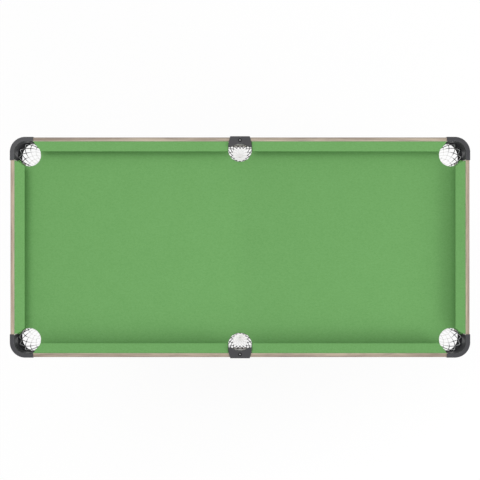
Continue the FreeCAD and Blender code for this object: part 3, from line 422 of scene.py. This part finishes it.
def mesh_of(name, work, merge=0.02):
    """Takes a bmesh in millimetres to a smooth-shaded mesh in metres."""
    bmesh.ops.remove_doubles(work, verts=work.verts, dist=merge)
    bmesh.ops.recalc_face_normals(work, faces=work.faces)
    for vertex in work.verts:
        vertex.co *= MM
    data = bpy.data.meshes.new(name)
    work.to_mesh(data)
    work.free()
    data.shade_smooth()
    return data


def join_rows(work, rows, closed=False):
    """Faces between each row of points and the next, and from the last point to the first if closed."""
    for upper, lower in zip(rows, rows[1:]):
        for index in range(len(upper) if closed else len(upper) - 1):
            after = (index + 1) % len(upper)
            work.faces.new((upper[index], upper[after], lower[after], lower[index]))


def edges_round(work, row):
    """The edges of a closed line through these points."""
    return [work.edges.get(pair) or work.edges.new(pair) for pair in zip(row, row[1:] + row[:1])]


def by_angle(piece, degrees):
    """Keeps the edges sharp at which faces meet at more than this angle."""
    piece.data.set_sharp_from_angle(angle=math.radians(degrees))


def arc_points(centre, radius, start, end, count):
    points = []
    for step in range(count + 1):
        turn = math.radians(start + (end - start) * step / count)
        points.append((centre[0] + radius * math.cos(turn), centre[1] + radius * math.sin(turn)))
    return points


# The bed cloth, one sheet that is turned down into the six pockets. It goes round the board's edge on
# this radius, this far down, and hangs this far inside the hole

TUCK_ROUND, TUCK_DEPTH, TUCK_INSET = 1.2, 12.5, 0.9
TUCK_STEPS, HOLE_STEPS = 4, 56


def pocket_edges(out):
    """The cloth's edge at the six pockets, in order round the bed: round each hole, and at a corner on
    to the aprons. It lies this far out from its turned-down place inside the hole."""
    beyond = out - TUCK_INSET
    edges = []
    for number, (sign_x, sign_y) in enumerate(((1, 1), (-1, 1), (-1, -1), (1, -1))):
        turn = 90 * number
        notch = [line - beyond for line in BOARD_NOTCH]
        radius = CORNER_HOLE_RADIUS + beyond
        reach = [math.degrees(math.asin((hole - line) / radius)) for hole, line in zip(CORNER_HOLE, notch)]
        ends = [[(INNER_X * sign_x, notch[1] * sign_y)], [(notch[0] * sign_x, INNER_Y * sign_y)]]
        before, after = ends[::sign_x * sign_y]
        centre = (CORNER_HOLE[0] * sign_x, CORNER_HOLE[1] * sign_y)
        start = turn - reach[sign_x * sign_y > 0]
        end = turn - 270 + reach[sign_x * sign_y < 0]
        edges.append(before + arc_points(centre, radius, start, end, HOLE_STEPS) + after)
        if sign_x == sign_y:
            radius = SIDE_HOLE_RADIUS + beyond
            wide = math.degrees(math.asin((INNER_Y - SIDE_HOLE_Y) / radius))
            centre = (0, SIDE_HOLE_Y * sign_y)
            edges.append(arc_points(centre, radius, turn + wide, turn - 180 - wide, HOLE_STEPS))
    return edges


def bed_cloth():
    steps_down = [(TUCK_ROUND, 0)]
    for step in range(1, TUCK_STEPS + 1):
        turn = math.radians(90 * step / TUCK_STEPS)
        steps_down.append((TUCK_ROUND * (1 - math.sin(turn)), TUCK_ROUND * (1 - math.cos(turn))))
    steps_down.append((0, TUCK_DEPTH))
    work = bmesh.new()
    levels = [[[work.verts.new((x, y, CLOTH_TOP - drop)) for x, y in edge] for edge in pocket_edges(out)]
              for out, drop in steps_down]
    for pocket_rows in zip(*levels):
        join_rows(work, pocket_rows)
    border = [vertex for edge in levels[0] for vertex in edge]
    bmesh.ops.triangle_fill(work, use_beauty=True, use_dissolve=False, edges=edges_round(work, border))
    cloth = add_piece("bed_cloth_sheet", mesh_of("bed_cloth_sheet", work), "table", CLOTH,
                      ["playfield_cloth"])
    by_angle(cloth, 50)


bed_cloth()


# Cushion cloths, wrapped round the rubber and folded over its ends. Depth counts from the wood. The
# underside slopes up to the nose from the foot, which is a depth and a height

CUSHION_TOP, NOSE_HEIGHT, NOSE_LINE, NOSE_RADIUS = 799.5, 796, 30, 2.2
CUSHION_FOOT, NOSE_UNDER = (15, 781), 793.5
# Depths and drops of the rounded back edge, and the turns of the nose in degrees
BACK_ROUND = ((0.05, 0.7), (0.25, 0.42), (0.6, 0.2), (1.05, 0.06), (1.6, 0))
NOSE_TURNS = (25, 45, 62, 76, 86, 90)
# Where the cushions end, how far their ends stand back at the nose, and how far they bow outward
LONG_END, LONG_MITRE = 631.1, 23.2
END_END, END_MITRE, END_BOW = 264, 16, 3
SIDE_GAP, SIDE_MITRE = 36, 3
CORNER_ROUND, SIDE_ROUND = 7, 4
# The mesh along a cushion, with shorter steps near its ends, and the ripples of its top
STEP_LENGTH, LEAST_STEPS, BUNCHING, END_RISES = 8, 24, 0.35, 5
RIPPLE_SHARE, TOP_SINK = 0.6, 0.1


def cushion_levels():
    """Depth from the wood, height of the top and height of the underside, from back to nose."""
    back_end = BACK_ROUND[-1][0]
    foot, foot_height = CUSHION_FOOT
    nose_start = NOSE_LINE - NOSE_RADIUS
    slope = (CUSHION_TOP - NOSE_HEIGHT) / NOSE_LINE
    under_slope = (NOSE_UNDER - foot_height) / (nose_start - foot)
    levels = [(depth, CUSHION_TOP - drop, CLOTH_TOP) for depth, drop in BACK_ROUND]
    for depth in (3, 5, 8, 11, 13, foot - 0.1, foot + 0.1, 18, 21, 24, 26, nose_start):
        bottom = CLOTH_TOP if depth < foot else foot_height + (depth - foot) * under_slope
        levels.append((depth, CUSHION_TOP - (depth - back_end) * slope, bottom))
    top_start, low_start = levels[-1][1:]
    middle = (top_start + low_start) / 2
    for turn in NOSE_TURNS:
        angle = math.radians(turn)
        levels.append((nose_start + NOSE_RADIUS * math.sin(angle),
                       middle + (top_start - middle) * math.cos(angle),
                       middle - (middle - low_start) * math.cos(angle)))
    return levels


def end_shift(depth, mitre, radius, bow):
    """How far a mitred end, with its corner at the nose rounded, stands back at this depth. The end
    bows outward by the last value at its middle."""
    back = mitre * depth / NOSE_LINE - 4 * bow * depth * (NOSE_LINE - depth) / NOSE_LINE ** 2
    centre = NOSE_LINE - radius
    if depth <= centre:
        return back
    height = depth - centre
    arc = math.sqrt(max(0.0, radius * radius - height * height))
    reach = mitre * centre / NOSE_LINE + radius / math.cos(math.atan(mitre / NOSE_LINE))
    return max(back, reach - arc)


def cushion_rows(work, levels, span, mitres, bow, rng):
    """The rows of points along the top, from back to nose, and those along the underside. The top
    ripples a little, and less towards the wood and the nose."""
    low, high = span
    steps = max(LEAST_STEPS, int((high - low) / STEP_LENGTH))
    rounds = [SIDE_ROUND if mitre == SIDE_MITRE else CORNER_ROUND for mitre in mitres]
    # Each wave has a pace along the cushion, a shift and a size
    waves = [(rng.uniform(0.008, 0.02), rng.uniform(0, 6.3), rng.uniform(0.02, 0.06)) for _ in range(3)]
    top_rows, low_rows = [], []
    for depth, top, bottom in levels:
        start = low + end_shift(depth, mitres[0], rounds[0], bow)
        end = high - end_shift(depth, mitres[1], rounds[1], bow)
        fade = min(1.0, depth / 6) * min(1.0, (NOSE_LINE - depth) / 4 + 0.1)
        top_row, low_row = [], []
        for step in range(steps + 1):
            share = step / steps
            share -= BUNCHING * math.sin(2 * math.pi * share) / (2 * math.pi)
            x = start + (end - start) * share
            ripple = fade * sum(size * math.sin(x * pace * 4 + shift) for pace, shift, size in waves)
            top_row.append((x, depth, top - TOP_SINK + ripple * RIPPLE_SHARE))
            low_row.append((x, depth, bottom))
        top_rows.append([work.verts.new(point) for point in top_row])
        low_rows.append([work.verts.new(point) for point in low_row])
    return top_rows, low_rows


def close_end(work, uppers, lowers):
    """The cloth folded over a cushion's end, between the ends of its upper and of its lower rows."""
    columns = []
    for upper, lower in zip(uppers, lowers):
        inner = [work.verts.new(upper.co.lerp(lower.co, rise / END_RISES)) for rise in range(1, END_RISES)]
        columns.append([upper] + inner + [lower])
    for first, second in zip(columns, columns[1:]):
        for index in range(END_RISES):
            corners = (first[index], first[index + 1], second[index + 1], second[index])
            if len({tuple(round(value, 3) for value in vertex.co) for vertex in corners}) > 2:
                work.faces.new(corners)


def cushion_cloth(name, turn, low, high, low_mitre, high_mitre, bow=0):
    levels = cushion_levels()
    work = bmesh.new()
    mitres = (low_mitre, high_mitre)
    top_rows, low_rows = cushion_rows(work, levels, (low, high), mitres, bow, random.Random(name))
    under_from = next(number for number, level in enumerate(levels) if level[0] > CUSHION_FOOT[0]) - 1
    join_rows(work, top_rows)
    join_rows(work, low_rows[under_from:])
    for side in (0, -1):
        close_end(work, [row[side] for row in top_rows], [row[side] for row in low_rows])
    for vertex in work.verts:
        x, depth, z = vertex.co
        y = depth - (INNER_Y if turn in (0, 180) else INNER_X)
        vertex.co = {0: Vector((x, y, z)), 180: Vector((-x, -y, z)),
                     90: Vector((-y, x, z)), 270: Vector((y, -x, z))}[turn]
    cloth = add_piece("cushion_wrap_" + name, mesh_of("cushion_wrap_" + name, work, 0.01), "table",
                      CLOTH, ["cushion_cloth_" + name])
    by_angle(cloth, 60)
    soft = cloth.modifiers.new("folded_edges", "BEVEL")
    soft.width = 0.9 * MM
    soft.segments = 2
    soft.limit_method = "ANGLE"
    soft.angle_limit = math.radians(50)


cushion_cloth("front_left", 0, -LONG_END, -SIDE_GAP, LONG_MITRE, SIDE_MITRE)
cushion_cloth("front_right", 0, SIDE_GAP, LONG_END, SIDE_MITRE, LONG_MITRE)
cushion_cloth("back_right", 180, -LONG_END, -SIDE_GAP, LONG_MITRE, SIDE_MITRE)
cushion_cloth("back_left", 180, SIDE_GAP, LONG_END, SIDE_MITRE, LONG_MITRE)
cushion_cloth("right", 90, -END_END, END_END, END_MITRE, END_MITRE, END_BOW)
cushion_cloth("left", 270, -END_END, END_END, END_MITRE, END_MITRE, END_BOW)


# Pocket nets, knotted from cord. All heights are millimetres over the floor

CORNER_SHAPE = {
    # How many meshes go round the net, and at which share of the way round the first one hangs
    "meshes": 10,
    "first": 27 / 360,
    # The heights of the rows of knots
    "rows": (737, 714, 691, 669, 649, 632, 619),
    # The points of a loop: shares aside, of which 0.01 is about 2.4 mm, and heights
    "loop": ((0, 756.2), (0.009, 755.2), (0.012, 752)),
    # Heights, and how far from the pocket's middle the round wall and the flat one by the apron are
    "radii": ((757, 38.2), (737, 36), (700, 31), (645, 23.5), (617, 9), (610, 3)),
    "flats": ((757, 60), (610, 60)),
    # The height below which the cord gets fine
    "fine": 712,
}
SIDE_SHAPE = {
    "meshes": 14,
    "first": 0,
    "rows": (725, 696, 662, 636, 618),
    "loop": ((0, 757.6), (0.007, 756.4), (0.01, 753)),
    "radii": ((758, 37.2), (725, 32), (696, 25), (645, 18), (617, 8), (610, 3)),
    "flats": ((758, 19.2), (725, 17.6), (696, 17), (645, 15), (610, 9)),
    "fine": 696,
}
CORD_RADIUS, RIM_CORD_RADIUS = 1.15, 0.9
RIM_HEIGHT, RIM_STEPS = 756, 96
# Shares of the cord's radius, and the height over which the one turns into the other
FINE_SHARE, THICK_SHARE, CHANGE_HEIGHT = 0.34, 0.95, 18
# Knots stand out of line by up to this share of half a mesh, and by up to this height
KNOT_ASIDE, KNOT_LIFT = 0.12, 1.2
# A knot's radius, what a thick cord adds to it, and its height for its width
KNOT_RADIUS, KNOT_GROWTH, KNOT_STRETCH = 0.3, 1.4, 1.25
# The bottom of a net, the place over it where the cords gather, and the ridged knot that ties them
NET_BOTTOM = 610
GATHER_SHARE, GATHER_LIFT = 0.45, 4
TIE_RADIUS, TIE_LIFT, TIE_RIDGES, TIE_RIDGE_HEIGHT = 2.6, 3.6, 5, 0.12


def cord_share(shape, height):
    """Thick cord in the upper rows, down to the shape's own level, and fine twine below them."""
    thick = min(1, max(0, (height - shape["fine"]) / CHANGE_HEIGHT + 1))
    return FINE_SHARE + (THICK_SHARE - FINE_SHARE) * thick


def smooth_line(points, cuts):
    """Points on a smooth line through the given ones, with this many cuts from one to the next."""
    padded = [points[0] * 2 - points[1]] + points + [points[-1] * 2 - points[-2]]
    line = []
    for first, start, end, last in zip(padded, padded[1:], padded[2:], padded[3:]):
        for cut in range(cuts):
            t = cut / cuts
            line.append(0.5 * (start * 2 + (end - first) * t
                               + (first * 2 - start * 5 + end * 4 - last) * t * t
                               + (start * 3 - first - end * 3 + last) * t * t * t))
    return line + [points[-1]]


def between(table, value):
    """Reads a table of heights, from high to low, and sizes, along straight lines between them."""
    for (high, first), (low, second) in zip(table, table[1:]):
        if value >= low:
            return second + (first - second) * (value - low) / (high - low)
    return table[-1][1]


def net_spot(shape, height, share):
    """A point of the net's wall, in millimetres, at a share of the way round it. Share 0 is the point
    that faces away from the table's middle line."""
    radius = between(shape["radii"], height)
    flat = min(radius, between(shape["flats"], height))
    half_flat = math.sqrt(radius * radius - flat * flat)
    corner_turn = math.acos(flat / radius)
    way_round = 2 * half_flat + 2 * (math.pi - corner_turn) * radius
    along = ((share + 0.5) % 1 - 0.5) * way_round
    if abs(along) <= half_flat:
        return Vector((along, flat, height))
    turn = math.copysign(corner_turn + (abs(along) - half_flat) / radius, along)
    return Vector((radius * math.sin(turn), radius * math.cos(turn), height))


def placed(spot, centre, mirror):
    """Takes a point of a net to its pocket on the table."""
    return Vector((centre[0] + mirror[0] * spot.x, centre[1] + mirror[1] * spot.y, spot.z))


def cord_line(curve, shape, line, centre, mirror):
    spline = curve.splines.new("POLY")
    spline.points.add(len(line) - 1)
    for point, spot in zip(spline.points, line):
        point.co = (*(placed(spot, centre, mirror) * MM), 1)
        point.radius = cord_share(shape, spot.z)
    return spline


def cord_curve(name, radius):
    curve = bpy.data.curves.new(name, "CURVE")
    curve.dimensions = "3D"
    curve.bevel_depth = radius * MM
    curve.bevel_resolution = 2
    return curve


def net_cords(name, shape, centre, mirror):
    """Cords that hang by loops from the top, run from knot to knot and gather at the bottom. Returns
    the places of the knots."""
    rng = random.Random(name)
    count, rows = shape["meshes"], shape["rows"]
    knots = {}

    def knot(row, number):
        """Knots of neighbouring rows stand half a mesh apart, so they are counted in half meshes."""
        key = (row, number % (2 * count))
        if key not in knots:
            share = shape["first"] + (number + rng.uniform(-KNOT_ASIDE, KNOT_ASIDE)) / (2 * count)
            knots[key] = net_spot(shape, rows[row] + rng.uniform(-KNOT_LIFT, KNOT_LIFT), share)
        return knots[key]

    cords = cord_curve(name + "_cords", CORD_RADIUS)
    for start in range(0, 2 * count, 2):
        for way in (1, -1):
            points = [net_spot(shape, height, shape["first"] + start / (2 * count) + way * aside)
                      for aside, height in shape["loop"]]
            points += [knot(row, start + way * (row + 1)) for row in range(len(rows))]
            points.append(Vector((points[-1].x * GATHER_SHARE, points[-1].y * GATHER_SHARE,
                                  NET_BOTTOM + GATHER_LIFT)))
            cord_line(cords, shape, smooth_line(points, 4), centre, mirror)
    add_piece(name + "_cords", cords, "table", CORD, [name])
    return list(knots.values())


def net_knots(name, shape, centre, mirror, spots):
    """The knots of a net, and the ridged one that ties it at the bottom."""
    work = bmesh.new()
    for spot in spots:
        radius = KNOT_RADIUS + KNOT_GROWTH * cord_share(shape, spot.z)
        for vertex in bmesh.ops.create_icosphere(work, subdivisions=2, radius=radius)["verts"]:
            vertex.co.z *= KNOT_STRETCH
            vertex.co += placed(spot, centre, mirror)
    tie = bmesh.ops.create_uvsphere(work, u_segments=14, v_segments=10, radius=TIE_RADIUS)["verts"]
    for vertex in tie:
        turn = math.atan2(vertex.co.y, vertex.co.x)
        ridges = 1 + TIE_RIDGE_HEIGHT * math.sin(TIE_RIDGES * turn + vertex.co.z)
        vertex.co.x *= ridges
        vertex.co.y *= ridges
        vertex.co += placed(Vector((0, 0, NET_BOTTOM + TIE_LIFT)), centre, mirror)
    add_piece(name + "_knots", mesh_of(name + "_knots", work, 0.001), "table", CORD)


def pocket_net(name, shape, centre, mirror):
    spots = net_cords(name, shape, centre, mirror)
    net_knots(name, shape, centre, mirror, spots)


def side_rim(name, centre, mirror):
    """The cord that holds the top of a side net, run over its nails."""
    curve = cord_curve(name, RIM_CORD_RADIUS)
    points = [net_spot(SIDE_SHAPE, RIM_HEIGHT, number / RIM_STEPS) for number in range(RIM_STEPS)]
    line = cord_line(curve, SIDE_SHAPE, points, centre, mirror)
    line.use_cyclic_u = True
    add_piece(name, curve, "table", CORD)


def make_nets():
    for sign_y, side in ((-1, "front"), (1, "back")):
        for sign_x, end in ((-1, "left"), (1, "right")):
            centre = (CORNER_HOLE[0] * sign_x, CORNER_HOLE[1] * sign_y)
            pocket_net(f"pocket_net_{side}_{end}", CORNER_SHAPE, centre, (sign_x, sign_y))
        centre = (0, SIDE_HOLE_Y * sign_y)
        pocket_net(f"pocket_net_{side}_middle", SIDE_SHAPE, centre, (1, sign_y))
        side_rim(f"net_rim_cord_{side}", centre, (1, sign_y))


make_nets()


# Screws of the side caps, with a cross recess and a bright worn middle. The head's outline is given as
# radii and heights

SCREW_SEAT, SCREW_TOP = 801.5, 802.9
SCREW_HEAD = ((2.8, SCREW_SEAT), (2.8, 802.2), (2.5, 802.65), (1.9, SCREW_TOP))
SHANK_RADIUS, SHANK_LENGTH = 1.6, 20
CROSS_HALF_WIDTH, CROSS_HALF_LENGTH, CROSS_DEPTH, CROSS_NARROWING = 0.38, 1.35, 0.9, 0.7
SCREW_STEPS = 48


def cross_points():
    """The outline of the cross recess, round the screw's middle."""
    points = []
    for turn in range(4):
        angle = -math.pi / 2 * turn
        for x, y in ((CROSS_HALF_WIDTH, CROSS_HALF_WIDTH), (CROSS_HALF_LENGTH, CROSS_HALF_WIDTH),
                     (CROSS_HALF_LENGTH, -CROSS_HALF_WIDTH)):
            points.append((x * math.cos(angle) - y * math.sin(angle),
                           x * math.sin(angle) + y * math.cos(angle)))
    return points


def side_screws():
    work = bmesh.new()
    for sign in (1, -1):
        middle_y = SIDE_SCREW_Y * sign

        def loop(points, height):
            return [work.verts.new((x, middle_y + y, height)) for x, y in points]

        shank = ((SHANK_RADIUS, SCREW_SEAT - SHANK_LENGTH), (SHANK_RADIUS, SCREW_SEAT))
        rows = [loop(arc_points((0, 0), radius, 0, 360, SCREW_STEPS)[:-1], height)
                for radius, height in shank + SCREW_HEAD]
        join_rows(work, rows, closed=True)
        work.faces.new(rows[0])
        cross = cross_points()
        floor = [(x * CROSS_NARROWING, y * CROSS_NARROWING) for x, y in cross]
        walls = [loop(cross, SCREW_TOP), loop(floor, SCREW_TOP - CROSS_DEPTH)]
        join_rows(work, walls, closed=True)
        work.faces.new(walls[1])
        rims = edges_round(work, rows[-1]) + edges_round(work, walls[0])
        bmesh.ops.triangle_fill(work, use_beauty=True, use_dissolve=False, edges=rims)
    screws = add_piece("side_cap_cross_screws", mesh_of("side_cap_cross_screws", work, 0.001), "table",
                       BLACK_STEEL, ["side_cap_screws"])
    by_angle(screws, 35)
    screws.data.materials.append(ZINC)
    for face in screws.data.polygons:
        face.material_index = 1 if face.center.z > (SCREW_TOP - 0.05) * MM else 0


side_screws()


# Floor, backdrop and light. The lamps have places and sizes in metres and powers in watts

FLOOR_REACH = 14
FLOOR_GREY, FLOOR_GLOW, FLOOR_GLOW_SHARE = 0.9, 1.02, 0.85
SKY_LIGHT, SKY_SEEN = 0.62, 0.98
LAMPS = (
    ("high_soft_box", (-2.0, 2.2, 4.8), 4.8, 3.2, 92),
    ("low_soft_box", (3.8, -2.8, 2.0), 3.0, 1.8, 135),
)


def seen_directly(tree):
    """1 for rays from the camera, off metal or through glass, and 0 for those that only light."""
    path = tree.nodes.new("ShaderNodeLightPath")
    seen = path.outputs["Is Camera Ray"]
    for kind in ("Is Glossy Ray", "Is Transmission Ray"):
        more = tree.nodes.new("ShaderNodeMath")
        more.operation = "MAXIMUM"
        tree.links.new(seen, more.inputs[0])
        tree.links.new(path.outputs[kind], more.inputs[1])
        seen = more.outputs[0]
    return seen


def floor_material():
    """Pale floor that shows white, and keeps the table's shadow in part."""
    material = bpy.data.materials.new("pale_floor")
    material.use_nodes = True
    tree = material.node_tree
    tree.nodes.clear()
    out = tree.nodes.new("ShaderNodeOutputMaterial")
    plain = tree.nodes.new("ShaderNodeBsdfDiffuse")
    plain.inputs["Color"].default_value = (FLOOR_GREY, FLOOR_GREY, FLOOR_GREY, 1)
    white = tree.nodes.new("ShaderNodeEmission")
    white.inputs["Color"].default_value = (1, 1, 1, 1)
    white.inputs["Strength"].default_value = FLOOR_GLOW
    share = tree.nodes.new("ShaderNodeMath")
    share.operation = "MULTIPLY"
    share.inputs[1].default_value = FLOOR_GLOW_SHARE
    tree.links.new(seen_directly(tree), share.inputs[0])
    blend = tree.nodes.new("ShaderNodeMixShader")
    tree.links.new(share.outputs[0], blend.inputs["Fac"])
    tree.links.new(plain.outputs[0], blend.inputs[1])
    tree.links.new(white.outputs[0], blend.inputs[2])
    tree.links.new(blend.outputs[0], out.inputs["Surface"])
    return material


def make_floor():
    data = bpy.data.meshes.new("floor")
    corners = [(-FLOOR_REACH, -FLOOR_REACH, 0), (FLOOR_REACH, -FLOOR_REACH, 0),
               (FLOOR_REACH, FLOOR_REACH, 0), (-FLOOR_REACH, FLOOR_REACH, 0)]
    data.from_pydata(corners, [], [(0, 1, 2, 3)])
    data.materials.append(floor_material())
    floor = bpy.data.objects.new("floor", data)
    bpy.context.scene.collection.objects.link(floor)


def make_backdrop():
    world = bpy.data.worlds.new("studio")
    bpy.context.scene.world = world
    world.use_nodes = True
    tree = world.node_tree
    tree.nodes.clear()
    out = tree.nodes.new("ShaderNodeOutputWorld")
    blend = tree.nodes.new("ShaderNodeMixShader")
    tree.links.new(seen_directly(tree), blend.inputs["Fac"])
    for place, strength in ((1, SKY_LIGHT), (2, SKY_SEEN)):
        sky = tree.nodes.new("ShaderNodeBackground")
        sky.inputs["Color"].default_value = (1, 1, 1, 1)
        sky.inputs["Strength"].default_value = strength
        tree.links.new(sky.outputs[0], blend.inputs[place])
    tree.links.new(blend.outputs[0], out.inputs["Surface"])


def make_lamps():
    for name, place, width, height, power in LAMPS:
        lamp = bpy.data.lights.new(name, "AREA")
        lamp.shape = "RECTANGLE"
        lamp.size = width
        lamp.size_y = height
        lamp.energy = power
        box = bpy.data.objects.new(name, lamp)
        box.location = place
        aim = Vector((0, 0, RAIL_TOP * MM)) - Vector(place)
        box.rotation_euler = aim.to_track_quat("-Z", "Y").to_euler()
        bpy.context.scene.collection.objects.link(box)


bpy.context.scene.view_settings.view_transform = "Standard"
make_floor()
make_backdrop()
make_lamps()
